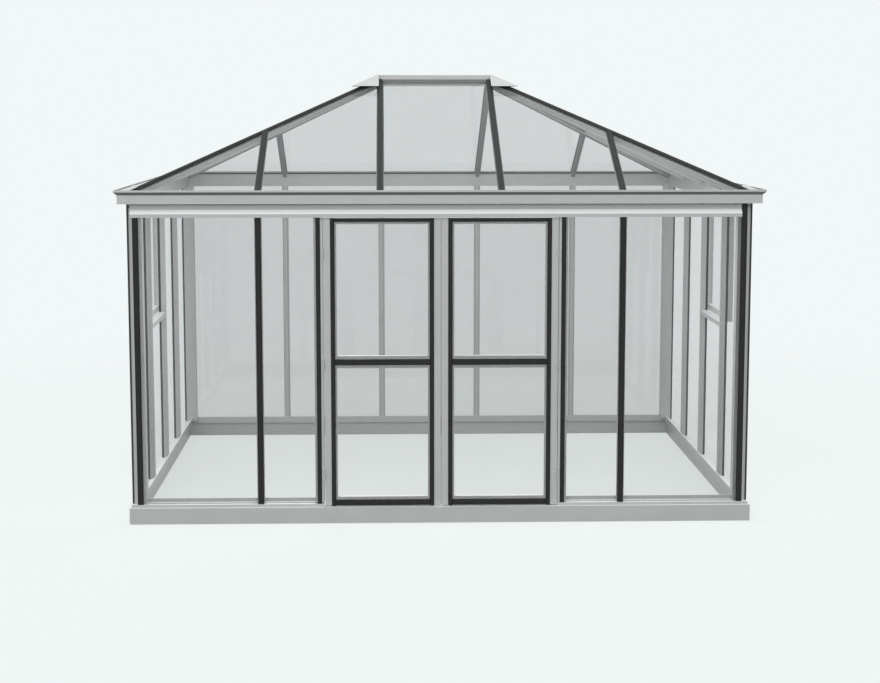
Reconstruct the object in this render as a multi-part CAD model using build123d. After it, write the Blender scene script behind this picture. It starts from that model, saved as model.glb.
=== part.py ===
from build123d import *
import os
from collections import namedtuple
from math import cos, radians, sin, sqrt, tan

os.makedirs("parts", exist_ok=True)

# A hipped glasshouse of aluminium bars on a plinth, its double door in the wall that faces -Y.
# Lengths are millimetres. The origin is on the ground, at the middle of the plinth.
# An inset is a distance inwards from the outer face of the plinth.

# Plan: whole bays of glass between the lines of the bars
bay = 733.6
long_bay_count = 5
deep_bay_count = 4
grid_inset = 66.0

# Plinth that the frame stands on
plinth_height = 100.0
plinth_thickness = 48.0

# Stepped sill rail: outer ledge for the glass, seat for the bars, inner upstand
sill_setback = 12.0
sill_rise = 19.0
sill_ledge = 27.0
sill_lip = 6.0
sill_seat = 27.0
upstand_height = 23.0
upstand_thickness = 6.0

# Glass, and the rubber glazing strips that hold it
glass_thickness = 4.0
glass_gap = 4.0
strip_width = 35.0
strip_thickness = 12.0
strip_round = 8.0
strip_gap = 0.5

# Bars of T section behind the glass
bar_width = 46.0
bar_depth = 32.0
bar_flange = 10.0
bar_web = 24.0

# Corner posts with a chamfered outer edge
post_size = 80.0
post_chamfer = 26.0

# Eave beam on top of the bars, and the gutter on its outer face
wall_top = 1941.0
beam_height = 72.0
beam_width = 38.0
beam_drop = 14.0
beam_groove_drop = 23.0
beam_groove_height = 6.0
beam_groove_depth = 5.0
gutter_floor = 1953.0
gutter_reach = 31.0
gutter_sheet = 3.0
gutter_back = 55.0
fascia_height = 53.0
lip_reach = 19.0
lip_rise = 18.0
lip_height = 12.0

# Header over the doors, with a sloping weather ledge
header_height = 71.0
header_setback = 4.0
header_end_inset = 37.0
header_lip = 21.0
header_ledge = 18.0
header_ledge_rise = 26.0
header_top_rise = 9.0
header_shoulder = 3.0

# Double door: two leaves that meet in the middle and swing outwards
doorway_half = 714.0
jamb_width = 54.0
jamb_strip_width = 26.0
jamb_strip_inset = 28.0
leaf_clearance = 5.5
leaf_meeting_gap = 6.0
leaf_depth = 32.0
stile_width = 77.0
stile_strip_width = 26.0
stile_strip_inset = 53.0
bottom_rail = 54.5
bottom_strip_inset = 19.0
top_rail = 36.0
top_strip_width = 20.0
top_strip_inset = 11.5
mid_rail = 75.0
mid_rail_level = 991.5

# Barrel hinges in the joint between leaf and jamb
hinge_levels = (300.0, 980.0, 1650.0)
hinge_length = 72.0
hinge_radius = 5.0
hinge_pin = 2.5
hinge_play = 0.3
hinge_offset = 6.0
hinge_plate = 14.0
hinge_knuckle_count = 3
knuckle_gap = 0.5

# Side window: a sash outside the bars, over a transom at half height
transom_top = 1135.0
transom_height = 30.0
transom_setback = 18.0
transom_depth = 42.0
sash_stile = 40.0
sash_depth = 32.0
sash_foot_gap = 5.0
sash_head_gap = 5.0
sash_glass_setback = 14.0

# Hipped roof: four slopes of one pitch, with hips on the mitre lines of the plan
roof_pitch = 24.8
roof_overhang = 28.0
roof_strip_start = 20.0
hip_width = 60.0
hip_web = 28.0
hip_depth = 45.0
hip_glass_gap = 8.0
hip_strip_width = 30.0
ridge_rise = 31.6
ridge_depth = 43.0
ridge_reach = 33.0
ridge_glass_gap = 4.0

# Raised caps of sheet over the ridge ends and over the eave corners
cap_sheet = 3.0
cap_rise = 27.0
cap_reach = 190.0
cap_side_gap = 9.0
corner_cap_rise = 18.0
corner_cap_start = -36.0
corner_cap_end = 34.0
corner_cap_half = 30.0
corner_cap_rib = 8.0

# Sizes that follow from those above
half_length = long_bay_count * bay / 2 + grid_inset
half_depth = deep_bay_count * bay / 2 + grid_inset
sill_top = plinth_height + sill_rise
bar_foot = sill_top + sill_lip
glass_inset = sill_setback + strip_thickness
bar_inset = glass_inset + glass_thickness
beam_top = wall_top + beam_height
beam_low = wall_top - beam_drop
front_top = wall_top - header_height
transom_low = transom_top - transom_height
seat_half_depth = half_depth - bar_inset
pitch = radians(roof_pitch)
slope = tan(pitch)
ridge_seat = beam_top + seat_half_depth * slope
outward = Vector(0, -1, 0)
slope_outward = Vector(0, -sin(pitch), cos(pitch))

Wall = namedtuple("Wall", "name out run angle bays")
front = Wall("front", half_depth, half_length, 0, long_bay_count)
right = Wall("right", half_length, half_depth, 90, deep_bay_count)
back = Wall("back", half_depth, half_length, 180, long_bay_count)
left = Wall("left", half_length, half_depth, 270, deep_bay_count)
walls = (front, right, back, left)


def prism(points, plane, length):
    """Straight prism of an outline drawn on a plane."""
    return extrude(plane * Polygon(*points, align=None), amount=length, dir=plane.z_dir)


def block(low, high):
    """Box between two opposite corners."""
    size = [b - a for a, b in zip(low, high)]
    middle = [(a + b) / 2 for a, b in zip(low, high)]
    return Pos(*middle) * Box(*size)


def turned(shape, wall):
    """Move a piece drawn for the front to another wall."""
    return shape.rotate(Axis.Z, wall.angle)


def mirrored_pair(shape):
    return [shape, shape.mirror(Plane.YZ)]


def at_four_corners(shape):
    pair = mirrored_pair(shape)
    return pair + [piece.mirror(Plane.XZ) for piece in pair]


def save(name, *shapes):
    solids = [solid for shape in shapes for solid in shape.solids()]
    whole = solids[0] if len(solids) == 1 else Compound(children=solids)
    whole.label = name
    export_step(whole, f"parts/{name}.step")


def section_plane(start, run, facing):
    """Plane of a section whose y axis faces outwards and that is run along a line."""
    return Plane(start, x_dir=facing.cross(run), z_dir=run)


def strip_between(start, end, facing, width):
    """Rubber glazing strip, its flat side on the glass and its outer corners rounded."""
    run = Vector(end) - Vector(start)
    section = Pos(0, strip_thickness / 2) * Rectangle(width, strip_thickness)
    section = fillet(section.vertices().group_by(Axis.Y)[-1], strip_round)
    return extrude(section_plane(start, run, facing) * section, amount=run.length, dir=run)


def bar_between(start, end, facing):
    """Glazing bar of T section, its flange against the glass."""
    run = Vector(end) - Vector(start)
    flange = bar_width / 2
    web = bar_web / 2
    half_section = [(flange, 0), (flange, -bar_flange), (web, -bar_flange), (web, -bar_depth)]
    section = half_section + [(-side, level) for side, level in reversed(half_section)]
    return prism(section, section_plane(start, run, facing), run.length)


def rail(wall, profile, start, end):
    """Run a profile of (inset, height) points along a wall."""
    plane = Plane((start, -wall.out, 0), x_dir=(0, 1, 0), z_dir=(1, 0, 0))
    return prism(profile, plane, end - start)


def mitred_rail(wall, profile):
    """Rail whose ends are cut on the mitre lines that it shares with the next walls."""
    insets = [inset for inset, _ in profile]
    levels = [level for _, level in profile]
    near, far = min(insets), max(insets)
    mitre = [
        (-wall.run + near, -wall.out + near),
        (wall.run - near, -wall.out + near),
        (wall.run - far, -wall.out + far),
        (-wall.run + far, -wall.out + far),
    ]
    floor = Plane((0, 0, min(levels)))
    span = prism(mitre, floor, max(levels) - min(levels))
    reach = wall.run - near
    return turned(rail(wall, profile, -reach, reach) & span, wall)


def bar_lines(wall):
    """Places of the bars along a wall, between its corner posts."""
    return [(n - wall.bays / 2) * bay for n in range(1, wall.bays)]


# Plinth
plinth_profile = [
    (0, 0),
    (plinth_thickness, 0),
    (plinth_thickness, plinth_height),
    (0, plinth_height),
]
for wall in walls:
    save(f"plinth_{wall.name}", mitred_rail(wall, plinth_profile))

# Corner posts, rebated on both sides for the glass
post_inner = glass_inset + post_size
post_section = [
    (glass_inset, glass_inset + post_chamfer),
    (glass_inset + post_chamfer, glass_inset),
    (grid_inset, glass_inset),
    (grid_inset, bar_inset),
    (post_inner, bar_inset),
    (post_inner, post_inner),
    (bar_inset, post_inner),
    (bar_inset, grid_inset),
    (glass_inset, grid_inset),
]
post_plane = Plane((-half_length, -half_depth, sill_top))
posts = at_four_corners(prism(post_section, post_plane, wall_top - sill_top))

# Sill rails, notched round the posts and cut off at the doorway
sill_lip_inset = sill_setback + sill_ledge
upstand_inset = sill_lip_inset + sill_seat
sill_inner = upstand_inset + upstand_thickness
upstand_top = bar_foot + upstand_height
sill_profile = [
    (sill_setback, plinth_height),
    (sill_setback, sill_top),
    (sill_lip_inset, sill_top),
    (sill_lip_inset, bar_foot),
    (upstand_inset, bar_foot),
    (upstand_inset, upstand_top),
    (sill_inner, upstand_top),
    (sill_inner, plinth_height),
]
doorway = block((-doorway_half, -half_depth, 0), (doorway_half, 0, front_top))
for wall in walls:
    sill = mitred_rail(wall, sill_profile)
    for post in posts:
        sill -= post
    if wall is front:
        sill -= doorway
    save(f"sill_{wall.name}", sill)

# Header over the doors, lapped over the left corner post and stopped at the right corner strip
ledge_inset = header_setback + header_ledge
ledge_top = front_top + header_lip + header_ledge_rise
header_profile = [
    (header_setback, front_top),
    (header_setback, front_top + header_lip),
    (ledge_inset, ledge_top),
    (ledge_inset, wall_top + header_shoulder),
    (bar_inset, wall_top + header_top_rise),
    (bar_inset, wall_top),
    (bar_inset + beam_width, wall_top),
    (bar_inset + beam_width, front_top),
]
header_start = -half_length + header_end_inset
header_stop = half_length - grid_inset - strip_width / 2 - strip_gap
header = rail(front, header_profile, header_start, header_stop)
save("door_header", header)
save("corner_posts", *[post - header for post in posts])

# Bars of the walls
door_span = doorway_half + jamb_width
for wall in walls:
    top = front_top if wall is front else beam_low
    seat = -wall.out + bar_inset
    bars = []
    for place in bar_lines(wall):
        if wall is front and abs(place) < door_span:
            continue
        bar = bar_between((place, seat, bar_foot), (place, seat, top), outward)
        bars.append(turned(bar, wall))
    save(f"{wall.name}_bars", *bars)

# Eave beams, their top sloped to carry the roof glass, with a groove along the inner face
beam_inner = bar_inset + beam_width
beam_inner_top = beam_top + beam_width * slope
groove_top = beam_inner_top - beam_groove_drop
groove_low = groove_top - beam_groove_height
groove_profile = [
    (beam_inner - beam_groove_depth, groove_low),
    (beam_inner, groove_low),
    (beam_inner, groove_top),
    (beam_inner - beam_groove_depth, groove_top),
]
beams = {}
for wall in walls:
    low = wall_top if wall is front else beam_low
    beam_outer_face = [(bar_inset, low), (bar_inset, beam_top)]
    beam_inner_face = [(beam_inner, beam_inner_top), (beam_inner, low)]
    beams[wall] = mitred_rail(wall, beam_outer_face + beam_inner_face)
    for post in posts:
        beams[wall] -= post
    save(f"eave_beam_{wall.name}", beams[wall] - mitred_rail(wall, groove_profile))

# Gutters: an open channel of sheet with a fascia and an outward lip
fascia_top = gutter_floor + fascia_height
lip_low = fascia_top + lip_rise
lip_top = lip_low + lip_height
lip_inset = -gutter_reach - lip_reach
fold = gutter_sheet / 2
gutter_profile = [
    (bar_inset, gutter_floor),
    (-gutter_reach, gutter_floor),
    (-gutter_reach, fascia_top),
    (lip_inset, lip_low),
    (lip_inset, lip_top),
    (lip_inset + gutter_sheet, lip_top),
    (lip_inset + gutter_sheet, lip_low + fold),
    (-gutter_reach + gutter_sheet, fascia_top + fold),
    (-gutter_reach + gutter_sheet, gutter_floor + gutter_sheet),
    (bar_inset - gutter_sheet, gutter_floor + gutter_sheet),
    (bar_inset - gutter_sheet, gutter_floor + gutter_back),
    (bar_inset, gutter_floor + gutter_back),
]
for wall in walls:
    save(f"gutter_{wall.name}", mitred_rail(wall, gutter_profile))

# Door jambs, rebated for the glass, each with the fixed knuckles and the pins of its hinges
face_y = -half_depth + glass_inset
rebate_y = -half_depth + bar_inset
jamb_outer = doorway_half + jamb_width
jamb_strip_line = doorway_half + jamb_strip_inset
leaf_edge = doorway_half - leaf_clearance
hinge_x = doorway_half - leaf_clearance / 2
hinge_y = face_y - hinge_offset
knuckle_pitch = hinge_length / hinge_knuckle_count


def hinge_rod(level, radius, length):
    return Pos(hinge_x, hinge_y, level) * Cylinder(radius, length)


def knuckle(level, side):
    """Barrel and plate of one knuckle; side is 1 towards the jamb and -1 towards the leaf."""
    half = (knuckle_pitch - knuckle_gap) / 2
    near, far = sorted((hinge_x, hinge_x + side * hinge_plate))
    plate = block((near, hinge_y, level - half), (far, face_y, level + half))
    return hinge_rod(level, hinge_radius, half + half) + plate


jamb = block((doorway_half, rebate_y, bar_foot), (jamb_outer, rebate_y + bar_depth, front_top))
jamb += block((doorway_half, face_y, bar_foot), (jamb_strip_line, rebate_y, front_top))
for level in hinge_levels:
    jamb += knuckle(level - knuckle_pitch, 1)
    jamb += knuckle(level + knuckle_pitch, 1)
    jamb += hinge_rod(level, hinge_pin, hinge_length)
save("door_jambs", *mirrored_pair(jamb))

# Door leaves, drawn on the right and mirrored to the left
leaf_start = leaf_meeting_gap / 2
leaf_low = plinth_height + leaf_clearance
leaf_high = front_top - leaf_clearance
back_y = face_y + leaf_depth
bottom_strip_level = leaf_low + bottom_strip_inset
top_strip_level = leaf_high - top_strip_inset


def leaf_panel(edge, low, high, near, far):
    """Block as wide as the leaf less an edge on each side."""
    return block((leaf_start + edge, near, low), (leaf_edge - edge, far, high))


mid_low = mid_rail_level - mid_rail / 2
mid_high = mid_rail_level + mid_rail / 2
leaf = leaf_panel(0, leaf_low, leaf_high, face_y, back_y)
leaf -= leaf_panel(stile_strip_inset, bottom_strip_level, top_strip_level, face_y, rebate_y)
leaf -= leaf_panel(stile_width, leaf_low + bottom_rail, mid_low, rebate_y, back_y)
leaf -= leaf_panel(stile_width, mid_high, leaf_high - top_rail, rebate_y, back_y)
for level in hinge_levels:
    leaf += knuckle(level, -1)
    leaf -= hinge_rod(level, hinge_pin + hinge_play, hinge_length)

leaf_spans = (
    (bottom_strip_level, mid_rail_level - glass_gap),
    (mid_rail_level + glass_gap, top_strip_level),
)
leaf_panes = []
for low, high in leaf_spans:
    leaf_panes.append(leaf_panel(stile_strip_inset, low, high, face_y, rebate_y))

leaf_strips = []
for place in (leaf_start + stile_strip_inset, leaf_edge - stile_strip_inset):
    foot = (place, face_y, leaf_low)
    head = (place, face_y, leaf_high)
    leaf_strips.append(strip_between(foot, head, outward, stile_strip_width))
strip_end = stile_strip_inset + stile_strip_width / 2 + strip_gap
cross_strips = (
    (bottom_strip_level, strip_width),
    (mid_rail_level, strip_width),
    (top_strip_level, top_strip_width),
)
for level, width in cross_strips:
    near_end = (leaf_start + strip_end, face_y, level)
    far_end = (leaf_edge - strip_end, face_y, level)
    leaf_strips.append(strip_between(near_end, far_end, outward, width))

leaf_nodes = {"frame": [leaf], "glass": leaf_panes, "strips": leaf_strips}
for node, shapes in leaf_nodes.items():
    save(f"right_door_{node}", *shapes)
    save(f"left_door_{node}", *[shape.mirror(Plane.YZ) for shape in shapes])


def window_start(wall):
    """First bar line of the side window, in the second bay from the door side."""
    return -bay if wall is right else 0


# Glass of the walls, one pane to a bay, with a short pane under each side window
glass_top = gutter_floor - gutter_sheet
for wall in walls:
    corner = wall.bays / 2 * bay
    lines = [-corner] + bar_lines(wall) + [corner]
    panes = []
    for start, end in zip(lines[:-1], lines[1:]):
        high = glass_top
        if wall is front:
            high = front_top
            start = jamb_strip_line if 0 < start < door_span else start
            end = -jamb_strip_line if 0 < -end < door_span else end
            if start < 0 < end:
                continue
        elif wall is not back and start == window_start(wall):
            high = transom_low
        near = -wall.out + glass_inset
        low_corner = (start + glass_gap, near, sill_top)
        high_corner = (end - glass_gap, near + glass_thickness, high)
        panes.append(turned(block(low_corner, high_corner), wall))
    save(f"{wall.name}_glass", *panes)

# Glazing strips of the walls, one on each post, bar and jamb
for wall in walls:
    corner = wall.bays / 2 * bay
    places = [(line, strip_width) for line in [-corner] + bar_lines(wall) + [corner]]
    top = gutter_floor
    if wall is front:
        top = front_top
        places = [(line, width) for line, width in places if abs(line) > door_span]
        places += [(-jamb_strip_line, jamb_strip_width), (jamb_strip_line, jamb_strip_width)]
    seat = -wall.out + glass_inset
    strips = []
    for place, width in places:
        head = gutter_floor if place == corner else top
        strip = strip_between((place, seat, sill_top), (place, seat, head), outward, width)
        strips.append(turned(strip, wall))
    save(f"{wall.name}_strips", *strips)

# Side windows: a transom between two bars, and a sash that lies outside them
for wall in (left, right):
    start = window_start(wall)
    end = start + bay
    near = -wall.out + transom_setback
    transom = block(
        (start + bar_width / 2, near, transom_low),
        (end - bar_width / 2, near + transom_depth, transom_top),
    )
    sash_back = -wall.out + sill_setback
    sash_front = sash_back - sash_depth
    low = transom_top + sash_foot_gap
    high = gutter_floor - sash_head_gap
    stile = sash_stile / 2
    sash = block((start - stile, sash_front, low), (end + stile, sash_back, high))
    low += sash_stile
    high -= sash_stile
    start += stile
    end -= stile
    sash -= block((start, sash_front, low), (end, sash_back, high))
    pane_front = sash_front + sash_glass_setback
    pane = block((start, pane_front, low), (end, pane_front + glass_thickness, high))
    save(f"{wall.name}_window_transom", turned(transom, wall))
    save(f"{wall.name}_window_frame", turned(sash, wall))
    save(f"{wall.name}_window_glass", turned(pane, wall))

# Roof slopes: u runs along the eave, d is the plan distance in from the beam's outer face.
# Lifts are square to the slope, from the underside of the glass.
strip_seat = glass_thickness / cos(pitch)
strip_crown = (glass_thickness + strip_thickness) / cos(pitch)


def seat_half(wall):
    return wall.run - bar_inset


def on_slope(wall, u, d, lift):
    """Point over the plan place (u, d) of a slope."""
    return Vector(u, -wall.out + bar_inset + d, beam_top + d * slope + lift / cos(pitch))


# Hips: T bars whose top follows both slopes, from the beams' corner to the ridge
hip_fall = slope / sqrt(2)
hip_run = Vector(1, 1, slope)
ridge_half = bar_width / 2


def hip_piece(half_profile, start, end):
    """Run a symmetrical profile of (side, height) points up the front left hip."""
    profile = half_profile + [(-side, level) for side, level in reversed(half_profile) if side]
    origin = (
        -seat_half(front) + start,
        -seat_half_depth + start,
        beam_top + start * slope,
    )
    face = Plane(origin, x_dir=(-1, 1, 0), z_dir=(1, 1, 0)) * Polygon(*profile, align=None)
    return extrude(face, amount=(end - start) * hip_run.length, dir=hip_run)


hip_side = hip_width / 2
hip_flange_low = -hip_side * hip_fall - bar_flange
hip_profile = [
    (0, 0),
    (hip_side, -hip_side * hip_fall),
    (hip_side, hip_flange_low),
    (hip_web / 2, hip_flange_low),
    (hip_web / 2, -hip_depth),
]
ridge_zone = block((-half_length, -ridge_half, 0), (half_length, ridge_half, ridge_seat))
hip = hip_piece(hip_profile, beam_width, seat_half_depth)
hip = hip - ridge_zone - beams[front] - beams[left]
hips = at_four_corners(hip)
save("hip_bars", *hips)

# Rubber strips along the hips
hip_strip_half = hip_strip_width / 2
shoulder = hip_strip_half - strip_round
hip_strip_profile = [
    (0, strip_seat),
    (hip_strip_half, strip_seat - hip_strip_half * hip_fall),
    (hip_strip_half, strip_crown - hip_strip_half * hip_fall - strip_round),
    (shoulder, strip_crown - shoulder * hip_fall),
    (0, strip_crown),
]
hip_strip_stop = seat_half_depth - ridge_half - hip_strip_width
hip_strip = hip_piece(hip_strip_profile, -roof_overhang, hip_strip_stop)
hip_strips = at_four_corners(hip_strip)
save("hip_strips", *hip_strips)

# Ridge bar, standing above the glass between the two ridge ends
ridge_half_length = bay / 2 + ridge_reach
ridge_top = ridge_seat + ridge_rise
ridge = block(
    (-ridge_half_length, -ridge_half, ridge_seat - ridge_depth),
    (ridge_half_length, ridge_half, ridge_top),
)
save("ridge_bar", ridge)


def crown_of(wall):
    """Plan distance at which a slope meets the ridge bar."""
    return wall.out - bar_inset - (ridge_half if wall in (front, back) else ridge_half_length)


def pane_outline(wall, start, end):
    """Plan outline of a roof pane between two lines, cut off by a hip and by the ridge."""
    crown = crown_of(wall) - ridge_glass_gap
    reach = seat_half(wall) - hip_glass_gap
    if start < 0 < end:
        return [(start, -roof_overhang), (end, -roof_overhang), (end, crown), (start, crown)]
    side = 1 if start > 0 else -1
    near, far = sorted((abs(start), abs(end)))
    far = min(far, reach + roof_overhang)
    outline = [(near, -roof_overhang), (far, -roof_overhang)]
    if reach - far > -roof_overhang:
        outline.append((far, reach - far))
    if near < reach - crown:
        outline.append((reach - crown, crown))
        outline.append((near, crown))
    else:
        outline.append((near, reach - near))
    return [(side * u, d) for u, d in outline]


# Roof bars, strips and panes, slope by slope, each kept to its own side of the hips
roof_strips = []
for wall in walls:
    eave_end = seat_half(wall) + roof_overhang
    eave_y = -wall.out + bar_inset - roof_overhang
    triangle = [(-eave_end, eave_y), (eave_end, eave_y), (0, eave_y + eave_end)]
    slope_zone = prism(triangle, Plane.XY, ridge_top)
    bars = []
    for place in bar_lines(wall):
        crown = min(crown_of(wall), seat_half(wall) - abs(place))
        foot = on_slope(wall, place, 0, 0)
        bar = bar_between(foot, on_slope(wall, place, crown, 0), slope_outward)
        bar = turned(bar & slope_zone, wall) - beams[wall] - ridge
        for hip in hips:
            bar -= hip
        bars.append(bar)
        foot = on_slope(wall, place, roof_strip_start, glass_thickness)
        head = on_slope(wall, place, crown, glass_thickness)
        strip = strip_between(foot, head, slope_outward, strip_width) & slope_zone
        strip = turned(strip, wall) - ridge
        for hip_strip in hip_strips:
            strip -= hip_strip
        roof_strips.append(strip)
    save(f"{wall.name}_roof_bars", *bars)
    lines = [-eave_end] + bar_lines(wall) + [eave_end]
    slope_origin = on_slope(wall, 0, 0, 0)
    slope_plane = Plane(slope_origin, x_dir=(1, 0, 0), z_dir=slope_outward)
    panes = []
    for start, end in zip(lines[:-1], lines[1:]):
        outline = pane_outline(wall, start + glass_gap, end - glass_gap)
        flat = [(u, d / cos(pitch)) for u, d in outline]
        panes.append(turned(prism(flat, slope_plane, glass_thickness), wall))
    save(f"{wall.name}_roof_glass", *panes)
save("roof_strips", *roof_strips)

# Rubber strips along both sides of the ridge
ridge_strip_end = bay / 2 - strip_width / 2 - strip_gap
ridge_strip_d = crown_of(front) - strip_width / 2 * cos(pitch) - strip_gap
near_end = on_slope(front, -ridge_strip_end, ridge_strip_d, glass_thickness)
far_end = on_slope(front, ridge_strip_end, ridge_strip_d, glass_thickness)
ridge_strip = strip_between(near_end, far_end, slope_outward, strip_width)
save("ridge_strips", ridge_strip, ridge_strip.mirror(Plane.XZ))


def hipped_body(apex, foot):
    """Solid under the front, back and left slopes, lifted to an apex level and cut off below."""
    end = -bay / 2
    rise = apex - foot
    reach = rise / slope
    gable = [(-reach, foot), (reach, foot), (0, apex)]
    gable_plane = Plane((end - reach, 0, 0), x_dir=(0, 1, 0), z_dir=(1, 0, 0))
    shed = [(end - reach, foot), (0, foot), (0, apex), (end, apex)]
    shed_plane = Plane((0, reach, 0), x_dir=(1, 0, 0), z_dir=(0, -1, 0))
    return prism(gable, gable_plane, reach - end) & prism(shed, shed_plane, reach + reach)


# Caps over the ridge ends: a folded sheet raised above the strips, its flat top on the ridge bar
cap_apex = ridge_seat + strip_crown + cap_rise
cap_foot = cap_apex - cap_reach * slope
cap_end = -bay / 2 - cap_side_gap
cap_box = block((-half_length, -half_depth, cap_foot), (cap_end, half_depth, ridge_top + cap_sheet))
hollow_box = block((-half_length, -half_depth, 0), (0, half_depth, ridge_top))
outer = hipped_body(cap_apex, cap_foot) & cap_box
hollow = hipped_body(cap_apex - cap_sheet / cos(pitch), cap_foot - cap_sheet) & hollow_box
save("ridge_caps", *mirrored_pair(outer - hollow - ridge))

# Caps over the lower ends of the hips, on a rib that stands on the hip strip
cap_crown = strip_crown + corner_cap_rise
cap_under = cap_crown - cap_sheet
corner_profile = [
    (0, cap_crown),
    (corner_cap_half, cap_crown - corner_cap_half * hip_fall),
    (corner_cap_half, cap_under - corner_cap_half * hip_fall),
    (corner_cap_rib, cap_under - corner_cap_rib * hip_fall),
    (corner_cap_rib, strip_crown - corner_cap_rib * hip_fall),
    (0, strip_crown),
]
corner_cap = hip_piece(corner_profile, corner_cap_start, corner_cap_end)
save("corner_caps", *at_four_corners(corner_cap))
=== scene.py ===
import math

import bpy
from mathutils import Matrix, Vector


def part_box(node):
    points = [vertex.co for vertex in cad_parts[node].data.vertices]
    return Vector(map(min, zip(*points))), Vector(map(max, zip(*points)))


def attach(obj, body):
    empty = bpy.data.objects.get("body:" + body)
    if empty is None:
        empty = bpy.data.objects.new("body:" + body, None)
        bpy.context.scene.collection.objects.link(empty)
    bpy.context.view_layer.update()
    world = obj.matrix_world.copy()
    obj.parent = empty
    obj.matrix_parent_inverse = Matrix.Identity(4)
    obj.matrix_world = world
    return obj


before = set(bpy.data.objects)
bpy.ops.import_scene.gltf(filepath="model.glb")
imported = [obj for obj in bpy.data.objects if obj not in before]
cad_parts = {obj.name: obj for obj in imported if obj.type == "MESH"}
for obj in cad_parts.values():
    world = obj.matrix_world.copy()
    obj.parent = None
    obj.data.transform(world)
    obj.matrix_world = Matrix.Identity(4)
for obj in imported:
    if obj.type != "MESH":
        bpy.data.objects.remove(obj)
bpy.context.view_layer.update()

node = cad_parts


# The plinth is a low kerb of folded aluminium, powder coated in a mid grey.
# The lengths meet in mitres at the corners and lie flat on the ground.
def linear(code):
    """Linear red, green and blue of an sRGB hex colour, with full alpha."""
    shares = [int(code[n:n + 2], 16) / 255 for n in (1, 3, 5)]
    return [s / 12.92 if s <= 0.04045 else ((s + 0.055) / 1.055) ** 2.4 for s in shares] + [1]


def add(tree, kind, values=(), stops=(), **settings):
    """Add a shader node, set its properties and sockets, and link the sockets given as sockets.

    The stops of a ramp are pairs of position and hex colour.
    """
    made = tree.nodes.new(kind)
    for name, value in settings.items():
        setattr(made, name, value)
    for key, value in dict(values).items():
        if isinstance(value, bpy.types.NodeSocket):
            tree.links.new(value, made.inputs[key])
        else:
            made.inputs[key].default_value = value
    for n, (position, code) in enumerate(stops):
        made.color_ramp.elements[n].position = position
        made.color_ramp.elements[n].color = linear(code)
    return made


def new_material(name):
    """Empty material with its tree and its output node."""
    made = bpy.data.materials.new(name)
    made.use_nodes = True
    made.node_tree.nodes.clear()
    return made, made.node_tree, made.node_tree.nodes.new("ShaderNodeOutputMaterial")


def coated_aluminium(name, pale, dark, along, painted_top_colour):
    """Powder-coated aluminium: a satin metal skin over fine extrusion lines.

    The lines run along one axis. They are under 1 mm apart on the real metal and are drawn
    8 mm apart here so that they show, with soft 120 mm clouds of wear over them.
    Faces that look down are painted a dark grey, a painted shade. Faces that look up are
    painted in the top colour and given a less metallic skin; on most parts that colour is a
    painted highlight, and on the roof bars a painted shade.
    """
    made, tree, output = new_material(name)
    line_pitch = 0.008
    line_stretch = 0.02
    cloud_size = 0.12
    line_share = 0.5
    dark_stop, pale_stop = 0.35, 0.65
    up_start, up_full = 0.3, 0.6
    down_start, down_full = -0.2, -0.6
    # Faces that look down are painted this dark grey, a painted shade.
    tint = "#6E706F"
    smoothest, roughest = 0.36, 0.46
    coat_metallic, top_face_metallic = 0.3, 0.0
    place = add(tree, "ShaderNodeTexCoord").outputs["Object"]
    scale = [line_stretch if axis == along else 1.0 for axis in "XYZ"]
    mapped = add(tree, "ShaderNodeMapping", {"Vector": place, "Scale": scale})
    lines = add(tree, "ShaderNodeTexNoise", {
        "Vector": mapped.outputs["Vector"],
        "Scale": 1 / line_pitch,
        "Detail": 3.0,
    })
    clouds = add(tree, "ShaderNodeTexNoise", {"Vector": place, "Scale": 1 / cloud_size, "Detail": 4.0})
    wear = add(tree, "ShaderNodeMix", {
        "Factor": line_share,
        "A": lines.outputs["Fac"],
        "B": clouds.outputs["Fac"],
    })
    ramp = add(tree, "ShaderNodeValToRGB", {"Fac": wear.outputs["Result"]},
               stops=((dark_stop, dark), (pale_stop, pale)))
    normal = add(tree, "ShaderNodeNewGeometry").outputs["Normal"]
    rise = add(tree, "ShaderNodeSeparateXYZ", {"Vector": normal}).outputs["Z"]
    upper = add(tree, "ShaderNodeMapRange", {"Value": rise, "From Min": up_start, "From Max": up_full})
    under = add(tree, "ShaderNodeMapRange", {
        "Value": rise,
        "From Min": down_start,
        "From Max": down_full,
    })
    # Faces that look up are painted in the top colour: a painted highlight, and on the roof bars a
    # painted shade.
    highlit_tops = add(tree, "ShaderNodeMix", {
        "Factor": upper.outputs["Result"],
        "A": ramp.outputs["Color"],
        "B": linear(painted_top_colour),
    }, data_type="RGBA")
    # Faces that look down are painted dark grey, a painted shade.
    shaded_unders = add(tree, "ShaderNodeMix", {
        "Factor": under.outputs["Result"],
        "A": highlit_tops.outputs["Result"],
        "B": linear(tint),
    }, data_type="RGBA")
    rough = add(tree, "ShaderNodeMapRange", {
        "Value": clouds.outputs["Fac"],
        "To Min": smoothest,
        "To Max": roughest,
    })
    metal = add(tree, "ShaderNodeMapRange", {
        "Value": upper.outputs["Result"],
        "To Min": coat_metallic,
        "To Max": top_face_metallic,
    })
    skin = add(tree, "ShaderNodeBsdfPrincipled", {
        "Base Color": shaded_unders.outputs["Result"],
        "Metallic": metal.outputs["Result"],
        "Roughness": rough.outputs["Result"],
    })
    tree.links.new(skin.outputs["BSDF"], output.inputs["Surface"])
    return made


def dress(material, *names):
    """Give CAD nodes one material in all their slots."""
    for name in names:
        slots = node[name].data.materials
        slots.clear()
        slots.append(material)


# Faces that look up are painted this near white, a painted highlight.
painted_highlight_coat = "#F0F2F2"
kerb_pale, kerb_dark = "#A6A8A7", "#A0A2A1"
plinth_x = coated_aluminium("coated_aluminium_plinth_x", kerb_pale, kerb_dark, "X", painted_highlight_coat)
plinth_y = coated_aluminium("coated_aluminium_plinth_y", kerb_pale, kerb_dark, "Y", painted_highlight_coat)
dress(plinth_x, "plinth_front", "plinth_back")
dress(plinth_y, "plinth_left", "plinth_right")

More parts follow.
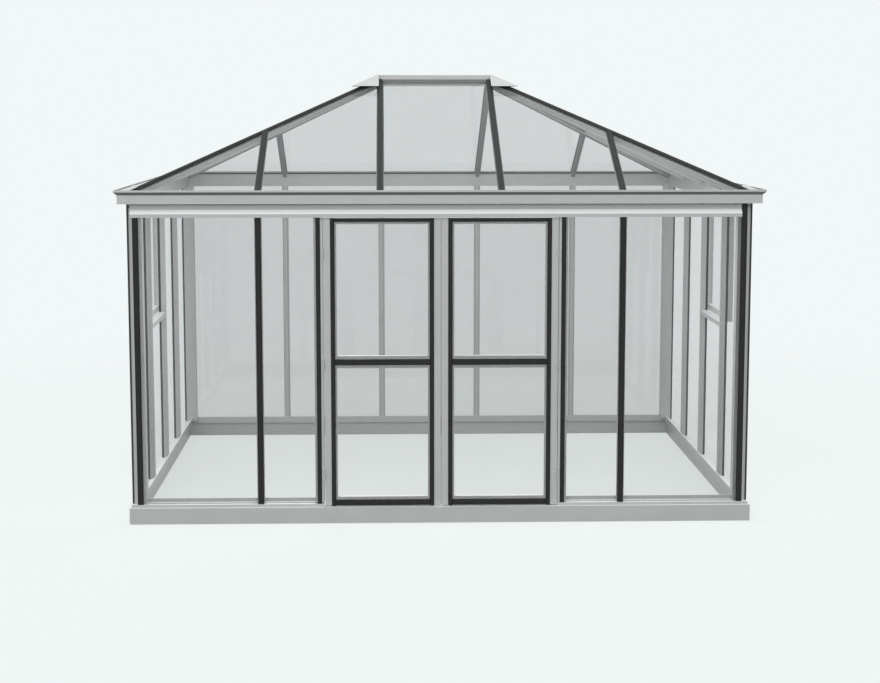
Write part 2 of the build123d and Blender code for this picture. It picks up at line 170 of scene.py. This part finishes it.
# Sill rails, eave beams, gutters, door header and ridge bar are long extrusions, coated grey.
# Those of the walls are mitred at the corners, and the gutter is screwed to the outer face of
# the beam.
rail_pale, rail_dark = "#A8AAA9", "#A2A4A3"
rails_x = coated_aluminium("coated_aluminium_rails_x", rail_pale, rail_dark, "X", painted_highlight_coat)
rails_y = coated_aluminium("coated_aluminium_rails_y", rail_pale, rail_dark, "Y", painted_highlight_coat)
for part in ("sill", "eave_beam", "gutter"):
    dress(rails_x, part + "_front", part + "_back")
    dress(rails_y, part + "_left", part + "_right")
dress(rails_x, "door_header", "ridge_bar")

# Corner posts, wall bars and door jambs are upright extrusions with the same coat.
# They stand on the sill rail and carry the eave beam.
uprights = coated_aluminium("coated_aluminium_uprights", rail_pale, rail_dark, "Z", painted_highlight_coat)
dress(uprights, "corner_posts", "front_bars", "back_bars", "left_bars", "right_bars", "door_jambs")

# Each door leaf is a frame of coated stiles and rails, joined square at the corners.
# The middle knuckles of its barrel hinges are fixed to the outer stile.
dress(uprights, "left_door_frame", "right_door_frame")

# Each side window is a sash of four coated lengths that lies outside the bars and is shut here.
# Under it a plain transom runs from bar to bar.
dress(uprights, "left_window_frame", "right_window_frame")
dress(rails_y, "left_window_transom", "right_window_transom")

# Roof bars and hips run up the slopes from the eave beams to the ridge, with the same coat.
# They are cut to the pitch and screwed to beam and ridge. Their faces that look up are painted a
# darker grey, a painted shade under the glass.
painted_shade_coat = "#7E807F"
slopes_y = coated_aluminium("coated_aluminium_slopes_y", rail_pale, rail_dark, "Y", painted_shade_coat)
slopes_x = coated_aluminium("coated_aluminium_slopes_x", rail_pale, rail_dark, "X", painted_shade_coat)
dress(slopes_y, "front_roof_bars", "back_roof_bars", "hip_bars")
dress(slopes_x, "left_roof_bars", "right_roof_bars")

# Ridge caps and corner caps are thin aluminium sheet, folded and coated in a paler grey.
# They cover the ends of the hip strips and are fixed to ridge and hips.
# Their faces that look up are painted a touch paler, a painted highlight.
sheet_pale, sheet_dark, sheet_painted_top = "#B8BAB9", "#B2B4B3", "#BDBFBF"
pressed = coated_aluminium("coated_aluminium_pressed_sheet", sheet_pale, sheet_dark, "X", sheet_painted_top)
dress(pressed, "ridge_caps", "corner_caps")


# Glazing strips are lengths of EPDM rubber pressed over the edges of the panes.
# The rubber is black, and grey on the ridge; on the roof and the side walls it is painted a little
# paler, a painted sheen.
def moulded_rubber(name, pale, dark):
    """EPDM rubber: an even, dull skin from the die, with a faint bloom.

    The bloom lies in 30 mm clouds. The grain is finer than a hair on the real rubber and is
    drawn 3 mm wide here so that it shows.
    """
    made, tree, output = new_material(name)
    cloud_size = 0.03
    grain_size = 0.003
    dark_stop, pale_stop = 0.3, 0.7
    smoothest, roughest = 0.5, 0.65
    dull_specular = 0.22
    place = add(tree, "ShaderNodeTexCoord").outputs["Object"]
    clouds = add(tree, "ShaderNodeTexNoise", {"Vector": place, "Scale": 1 / cloud_size, "Detail": 4.0})
    grain = add(tree, "ShaderNodeTexNoise", {"Vector": place, "Scale": 1 / grain_size, "Detail": 2.0})
    ramp = add(tree, "ShaderNodeValToRGB", {"Fac": clouds.outputs["Fac"]},
               stops=((dark_stop, dark), (pale_stop, pale)))
    rough = add(tree, "ShaderNodeMapRange", {
        "Value": grain.outputs["Fac"],
        "To Min": smoothest,
        "To Max": roughest,
    })
    skin = add(tree, "ShaderNodeBsdfPrincipled", {
        "Base Color": ramp.outputs["Color"],
        "Roughness": rough.outputs["Result"],
        "Specular IOR Level": dull_specular,
    })
    tree.links.new(skin.outputs["BSDF"], output.inputs["Surface"])
    return made


rubber = moulded_rubber("epdm_rubber", "#1E1F1E", "#181918")
dress(rubber, "front_strips", "back_strips", "left_door_strips", "right_door_strips")
# Strips on the roof and the side walls are painted paler, a painted sheen.
sheen_painted_rubber = moulded_rubber("sheen_painted_epdm_rubber", "#333433", "#2C2D2C")
dress(sheen_painted_rubber, "left_strips", "right_strips", "roof_strips", "hip_strips")
grey_rubber = moulded_rubber("grey_epdm_rubber", "#6A6C6B", "#636564")
dress(grey_rubber, "ridge_strips")


# Panes are 4 mm float glass, cut square for the walls and to the hips for the roof.
# The glass is clear with a grey cast, and mirrors the sky where it is seen at a low angle.
def float_glass(name, clear, dusty, grazing_sheen, grazing_colour):
    """Clear float glass: light passes straight through, and the sheen grows at low angles.

    A thin layer of dust in 200 mm clouds takes a little light. At low angles the pane takes the
    grazing colour in place of the dust; on the side panes that colour is clearer, a painted sheen.
    """
    made, tree, output = new_material(name)
    cloud_size = 0.2
    clear_stop, dusty_stop = 0.3, 0.7
    grazing_start, grazing_full = 0.5, 0.78
    square_on_sheen = 0.04
    sheen_power = 5.0
    fire_polish = 0.03
    place = add(tree, "ShaderNodeTexCoord").outputs["Object"]
    clouds = add(tree, "ShaderNodeTexNoise", {"Vector": place, "Scale": 1 / cloud_size, "Detail": 5.0})
    ramp = add(tree, "ShaderNodeValToRGB", {"Fac": clouds.outputs["Fac"]},
               stops=((clear_stop, clear), (dusty_stop, dusty)))
    facing = add(tree, "ShaderNodeLayerWeight", {"Blend": 0.5}).outputs["Facing"]
    low_angle = add(tree, "ShaderNodeMapRange", {
        "Value": facing,
        "From Min": grazing_start,
        "From Max": grazing_full,
    })
    tint = add(tree, "ShaderNodeMix", {
        "Factor": low_angle.outputs["Result"],
        "A": ramp.outputs["Color"],
        "B": linear(grazing_colour),
    }, data_type="RGBA")
    through = add(tree, "ShaderNodeBsdfTransparent", {"Color": tint.outputs["Result"]})
    sheen = add(tree, "ShaderNodeBsdfGlossy", {"Roughness": fire_polish})
    steep = add(tree, "ShaderNodeMath", {0: facing, 1: sheen_power}, operation="POWER")
    share = add(tree, "ShaderNodeMath", {
        0: steep.outputs[0],
        1: grazing_sheen - square_on_sheen,
        2: square_on_sheen,
    }, operation="MULTIPLY_ADD")
    mixed = add(tree, "ShaderNodeMixShader", {
        0: share.outputs[0],
        1: through.outputs["BSDF"],
        2: sheen.outputs["BSDF"],
    })
    tree.links.new(mixed.outputs["Shader"], output.inputs["Surface"])
    return made


grey_glass = float_glass("grey_float_glass", "#F3F3F3", "#F2F2F2", 0.9, "#F3F3F3")
roof_glass = float_glass("roof_float_glass", "#F7F7F7", "#F6F6F6", 0.5, "#F7F7F7")
# At low angles the side panes are painted clearer, a painted sheen.
side_glass = float_glass("side_float_glass", "#F5F5F5", "#F4F4F4", 0.08, "#FEFEFE")
dress(grey_glass, "front_glass", "back_glass", "left_door_glass", "right_door_glass")
dress(roof_glass, "front_roof_glass", "back_roof_glass", "left_roof_glass", "right_roof_glass")
dress(side_glass, "left_glass", "right_glass", "left_window_glass", "right_window_glass")


# Eave beads are soft EPDM lengths that close the joint between an eave beam and the roof glass.
# They are pressed on to the inner face of the beam, from bar to bar.
def new_block(name, low, high):
    """Cube between two corners, left selected on its own, with its place in its mesh."""
    bpy.ops.object.select_all(action="DESELECT")
    middle = [(a + b) / 2 for a, b in zip(low, high)]
    bpy.ops.mesh.primitive_cube_add(size=1.0, location=middle)
    made = bpy.context.object
    made.scale = [b - a for a, b in zip(low, high)]
    made.name = name
    bpy.ops.object.transform_apply(location=True, rotation=True, scale=True)
    return made


def pick_faces(made, direction):
    """In edit mode, select the faces that look straight in a direction."""
    aligned = 0.99
    bpy.ops.object.mode_set(mode="EDIT")
    bpy.ops.mesh.select_mode(type="FACE")
    bpy.ops.mesh.select_all(action="DESELECT")
    bpy.ops.object.mode_set(mode="OBJECT")
    for face in made.data.polygons:
        face.select = face.normal.dot(Vector(direction)) > aligned
    bpy.ops.object.mode_set(mode="EDIT")


def placed_copies(first, name, body, material, places):
    """Copies of one piece at places given as matrices, joined to one piece that rides on a body."""
    copies = []
    for place in places:
        copy = first.copy()
        copy.data = first.data.copy()
        bpy.context.collection.objects.link(copy)
        copy.data.transform(place)
        copies.append(copy)
    bpy.ops.object.select_all(action="DESELECT")
    for copy in copies:
        copy.select_set(True)
    bpy.context.view_layer.objects.active = copies[0]
    bpy.ops.object.join()
    whole = bpy.context.object
    whole.name = name
    whole.data.materials.clear()
    whole.data.materials.append(material)
    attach(whole, body)


bay = 0.7336
bar_clearance = 0.024
hip_clearance = 0.06
bead_height = 0.012
bead_depth = 0.004
bead_round = 0.0015
bead = new_block("bead", (-0.5, 0, -bead_height), (0.5, bead_depth, 0))
pick_faces(bead, (0, 1, 0))
bpy.ops.mesh.bevel(offset=bead_round, segments=2, affect="EDGES")
bpy.ops.object.mode_set(mode="OBJECT")
beam_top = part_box("eave_beam_front")[1][2]
inner_depth = -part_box("eave_beam_front")[1][1]
inner_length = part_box("eave_beam_right")[0][0]
walls = ((inner_depth, inner_length), (inner_length, inner_depth)) * 2
bead_places = []
for quarter, (out, run) in enumerate(walls):
    turn = Matrix.Rotation(quarter * math.pi / 2, 4, "Z")
    bays = round(2 * run / bay)
    for n in range(bays):
        start = n * bay - run + (bar_clearance if n else hip_clearance)
        end = (n + 1) * bay - run - (bar_clearance if n < bays - 1 else hip_clearance)
        middle = Matrix.Translation(((start + end) / 2, -out, beam_top))
        bead_places.append(turn @ middle @ Matrix.Diagonal((end - start, 1, 1, 1)))
placed_copies(bead, "eave_beads", "greenhouse", rubber, bead_places)
bpy.data.objects.remove(bead)

# Brush seals close the joint where the two door leaves meet.
# Each is a grey pile on a thin backing, slid into a groove in the edge of its leaf.
tuft_pitch = 0.004
tuft_shade, tuft_tip = "#8C8E8D", "#A6A8A7"
pile_roughness = 0.8
# Polypropylene pile is dull to the eye, with a fine mottle where the tufts part. The tufts are
# under 1 mm wide on the real seal and are drawn 4 mm wide here so that they show.
pile, tree, output = new_material("grey_polypropylene_pile")
place = add(tree, "ShaderNodeTexCoord").outputs["Object"]
tufts = add(tree, "ShaderNodeTexNoise", {"Vector": place, "Scale": 1 / tuft_pitch, "Detail": 2.0})
shade = add(tree, "ShaderNodeValToRGB", {"Fac": tufts.outputs["Fac"]},
            stops=((0.0, tuft_shade), (1.0, tuft_tip)))
hair = add(tree, "ShaderNodeBsdfPrincipled", {
    "Base Color": shade.outputs["Color"],
    "Roughness": pile_roughness,
})
tree.links.new(hair.outputs["BSDF"], output.inputs["Surface"])


def pile_seal(name, body, edge, towards, near, bottom, top, pile_height):
    """Seal on an upright edge: a thin backing with its pile raised from it, towards +X or -X."""
    backing = 0.0008
    depth = 0.012
    bare_edge = 0.002
    bare_end = 0.002
    start, end = sorted((edge, edge + towards * backing))
    seal = new_block(name, (start, near, bottom + bare_end), (end, near + depth, top - bare_end))
    pick_faces(seal, (towards, 0, 0))
    bpy.ops.mesh.inset(thickness=bare_edge)
    bpy.ops.mesh.extrude_region_move(TRANSFORM_OT_translate={"value": (towards * pile_height, 0, 0)})
    bpy.ops.object.mode_set(mode="OBJECT")
    seal.data.materials.append(pile)
    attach(seal, body)


seal_setback = 0.006
meeting_pile = 0.0014
for side, towards in (("left", 1), ("right", -1)):
    leaf_low, leaf_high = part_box(side + "_door_frame")
    edge = leaf_high[0] if side == "left" else leaf_low[0]
    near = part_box(side + "_door_glass")[0][1] + seal_setback
    pile_seal(side + "_meeting_seal", side + "_door", edge, towards, near,
              leaf_low[2], leaf_high[2], meeting_pile)

# Jamb seals close the joint on the hinge side, where the leaf swings away from the jamb.
# They are the same pile, slid into the edge of the jamb behind the hinges.
jamb_low, jamb_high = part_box("door_jambs")
jamb_pile = 0.0024
doorway_half = 0.714
for side, towards in (("left", 1), ("right", -1)):
    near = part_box(side + "_door_glass")[0][1] + seal_setback
    pile_seal(side + "_jamb_seal", "greenhouse", -towards * doorway_half, towards, near,
              jamb_low[2], jamb_high[2], jamb_pile)

# Screws with a dished socket hold the plates of the door hinges, one to each plate.
# They are stainless steel, turned on a lathe and left bright.
turning_pitch = 0.002
steel_shade, steel_bright = "#9EA0A0", "#B4B6B6"
turned_roughness = 0.3
# Stainless steel gives the eye a small grey glint, broken by turning marks. The marks are finer
# than a hair on the real screw and are drawn 2 mm apart so that they show.
steel, tree, output = new_material("stainless_steel_screws")
place = add(tree, "ShaderNodeTexCoord").outputs["Object"]
marks = add(tree, "ShaderNodeTexNoise", {"Vector": place, "Scale": 1 / turning_pitch, "Detail": 2.0})
shade = add(tree, "ShaderNodeValToRGB", {"Fac": marks.outputs["Fac"]},
            stops=((0.0, steel_shade), (1.0, steel_bright)))
bright = add(tree, "ShaderNodeBsdfPrincipled", {
    "Base Color": shade.outputs["Color"],
    "Metallic": 1.0,
    "Roughness": turned_roughness,
})
tree.links.new(bright.outputs["BSDF"], output.inputs["Surface"])

screw_radius = 0.003
screw_height = 0.0015
screw_sides = 18
screw_rounding = screw_height * 0.4
socket_rim = screw_radius * 0.3
socket_depth = screw_height * 0.5
bpy.ops.object.select_all(action="DESELECT")
bpy.ops.mesh.primitive_cylinder_add(vertices=screw_sides, radius=screw_radius, depth=screw_height,
                                    location=(0, 0, screw_height / 2))
screw = bpy.context.object
bpy.ops.object.transform_apply(location=True, rotation=True, scale=True)
pick_faces(screw, (0, 0, 1))
bpy.ops.mesh.bevel(offset=screw_rounding, segments=2, affect="EDGES")
bpy.ops.object.mode_set(mode="OBJECT")
pick_faces(screw, (0, 0, 1))
bpy.ops.mesh.inset(thickness=socket_rim)
bpy.ops.mesh.extrude_region_move(TRANSFORM_OT_translate={"value": (0, 0, -socket_depth)})
bpy.ops.object.mode_set(mode="OBJECT")

hinge_levels = (0.300, 0.980, 1.650)
knuckle_pitch = 0.024
plate_middle = 0.0095
hinge_line = 0.71125
plate_face = -1.5152
outwards = Vector((0, -1, 0)).to_track_quat("Z", "Y").to_matrix().to_4x4()
for side, sign in (("left", -1), ("right", 1)):
    leaf_x = sign * (hinge_line - plate_middle)
    jamb_x = sign * (hinge_line + plate_middle)
    leaf_seats = []
    jamb_seats = []
    for level in hinge_levels:
        leaf_seats.append(Matrix.Translation((leaf_x, plate_face, level)) @ outwards)
        for step in (-knuckle_pitch, knuckle_pitch):
            jamb_seats.append(Matrix.Translation((jamb_x, plate_face, level + step)) @ outwards)
    placed_copies(screw, side + "_leaf_hinge_screws", side + "_door", steel, leaf_seats)
    placed_copies(screw, side + "_jamb_hinge_screws", "greenhouse", steel, jamb_seats)
bpy.data.objects.remove(screw)

# Floor: a pale matt ground, even to the eye. Near the object it takes light and shadow, and
# further out it turns to the plain colour of the backdrop, so that no horizon shows.
backdrop = "#F2F7F7"
ground_matt, ground_glow = "#5E6160", "#EFF5F3"
glow_strength = 0.85
floor_size = 400.0
fade_start, fade_end = 3.5, 9.0
bpy.ops.object.select_all(action="DESELECT")
bpy.ops.mesh.primitive_plane_add(size=floor_size, location=(0, 0, 0))
floor = bpy.context.object
floor.name = "floor"


def seen_rays(tree):
    """Socket that is 1 for camera, glossy and transmission rays, which see the pale backdrop."""
    path = add(tree, "ShaderNodeLightPath")
    sight = add(tree, "ShaderNodeMath", {
        0: path.outputs["Is Camera Ray"],
        1: path.outputs["Is Glossy Ray"],
    }, operation="MAXIMUM")
    return add(tree, "ShaderNodeMath", {
        0: sight.outputs[0],
        1: path.outputs["Is Transmission Ray"],
    }, operation="MAXIMUM").outputs[0]


ground, tree, output = new_material("pale_ground")
place = add(tree, "ShaderNodeTexCoord").outputs["Object"]
distance = add(tree, "ShaderNodeVectorMath", {0: place}, operation="LENGTH")
fade = add(tree, "ShaderNodeMapRange", {
    "Value": distance.outputs["Value"],
    "From Min": fade_start,
    "From Max": fade_end,
}, interpolation_type="SMOOTHSTEP").outputs["Result"]
seen = seen_rays(tree)
glow = add(tree, "ShaderNodeMath", {0: seen, 1: glow_strength}, operation="MULTIPLY").outputs[0]
matt = add(tree, "ShaderNodeBsdfDiffuse", {"Color": linear(ground_matt)}).outputs["BSDF"]
pale = add(tree, "ShaderNodeEmission", {"Color": linear(ground_glow), "Strength": glow})
near = add(tree, "ShaderNodeAddShader", {0: matt, 1: pale.outputs["Emission"]}).outputs["Shader"]
far = add(tree, "ShaderNodeEmission", {"Color": linear(backdrop), "Strength": seen})
shown = add(tree, "ShaderNodeMixShader", {0: fade, 1: near, 2: far.outputs["Emission"]})
tree.links.new(shown.outputs["Shader"], output.inputs["Surface"])
floor.data.materials.append(ground)

# Light: an even sky with a broad soft sun from the upper left of the camera, and two faint lamps
# that lift the inside. The camera, sheen and glass see the pale backdrop in place of that sky.
world = bpy.data.worlds.new("studio")
bpy.context.scene.world = world
world.use_nodes = True
tree = world.node_tree
tree.nodes.clear()
sky = add(tree, "ShaderNodeBackground", {"Color": (1, 1, 1, 1), "Strength": 1.0})
plain = add(tree, "ShaderNodeBackground", {"Color": linear(backdrop), "Strength": 1.0})
either = add(tree, "ShaderNodeMixShader", {
    0: seen_rays(tree),
    1: sky.outputs["Background"],
    2: plain.outputs["Background"],
})
add(tree, "ShaderNodeOutputWorld", {"Surface": either.outputs["Shader"]})

sun = bpy.data.lights.new("soft_sun", "SUN")
sun.energy = 1.8
sun.angle = math.radians(70)
lamp = bpy.data.objects.new("soft_sun", sun)
bpy.context.collection.objects.link(lamp)
to_sun = Vector((-0.26, -0.90, 0.32))
lamp.rotation_euler = to_sun.to_track_quat("Z", "Y").to_euler()

fill_side = 0.95
fill_front = -0.9
fill_height = 1.45
fill_softness = 0.5
for side, sign, power in (("left", -1, 64.0), ("right", 1, 48.0)):
    fill = bpy.data.lights.new(side + "_inside_fill", "POINT")
    fill.energy = power
    fill.shadow_soft_size = fill_softness
    lamp = bpy.data.objects.new(side + "_inside_fill", fill)
    bpy.context.collection.objects.link(lamp)
    lamp.location = (sign * fill_side, fill_front, fill_height)
    lamp.visible_camera = False
    lamp.visible_glossy = False
    lamp.visible_transmission = False

# Camera: as in the photo, a long lens about 12 m from the doors, a little left of the middle.
# Its place and turn were fitted to the corners of the object, with the lens in pixels.
image_width = 880
focal = 1807.43
sensor = 36.0
yaw = 0.02995
pitch = 0.12949
stand = (-0.33241, -12.37437, 2.53185)
eye = bpy.data.cameras.new("camera")
eye.sensor_fit = "HORIZONTAL"
eye.sensor_width = sensor
eye.lens = focal / image_width * sensor
camera = bpy.data.objects.new("camera", eye)
bpy.context.collection.objects.link(camera)
camera.location = stand
camera.rotation_euler = (math.pi / 2 - pitch, 0, -yaw)
bpy.context.scene.camera = camera
bpy.context.scene.view_settings.view_transform = "Standard"
